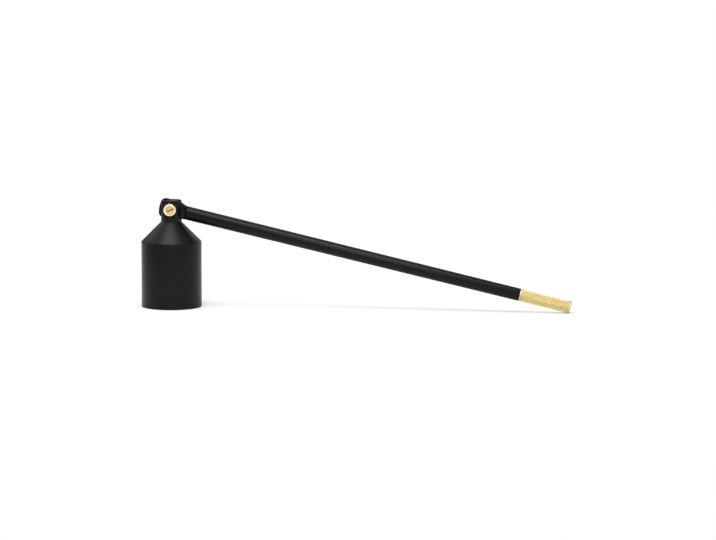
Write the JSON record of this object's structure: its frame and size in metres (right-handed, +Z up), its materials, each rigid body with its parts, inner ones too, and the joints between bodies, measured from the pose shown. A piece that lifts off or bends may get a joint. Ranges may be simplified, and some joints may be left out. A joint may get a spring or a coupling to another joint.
{
  "type": "candle snuffer",
  "caption": "Candle snuffer with a black bell that hangs from a long slim handle on a brass pivot screw, and a knurled brass tip on the handle.",
  "frame": {"origin": "middle of the bell's open mouth, on the plane of its rim", "axes": "+Z up along the bell's axis, +X towards the handle's tip, Y along the pivot"},
  "size_m": [0.2148, 0.03, 0.0543],
  "materials": {
    "black_bell": "matt black powder coat on steel",
    "black_post": "matt black powder coat on steel",
    "black_handle": "matt black powder coat on steel",
    "turned_brass": "turned and polished brass",
    "knurled_brass": "satin knurled brass",
    "plated_steel": "zinc plated steel",
    "black_nylon": "plain black nylon"
  },
  "bodies": {
    "bell": {"bell_cup": "black_bell", "clevis_post": "black_post", "post_washer": "plated_steel", "post_screw": "plated_steel", "pivot_screw": "turned_brass", "pivot_barrel": "turned_brass", "pivot_washers": "black_nylon"},
    "handle": {"handle_rod": "black_handle", "tip_stud": "plated_steel", "knurled_tip": "knurled_brass"}
  },
  "joints": [
    {"name": "handle_pivot", "type": "hinge", "parent": "bell", "child": "handle", "pos_m": [0, 0, 0.04875], "axis": [0, -1, 0], "range_deg": [-8.5, 214]}
  ]
}
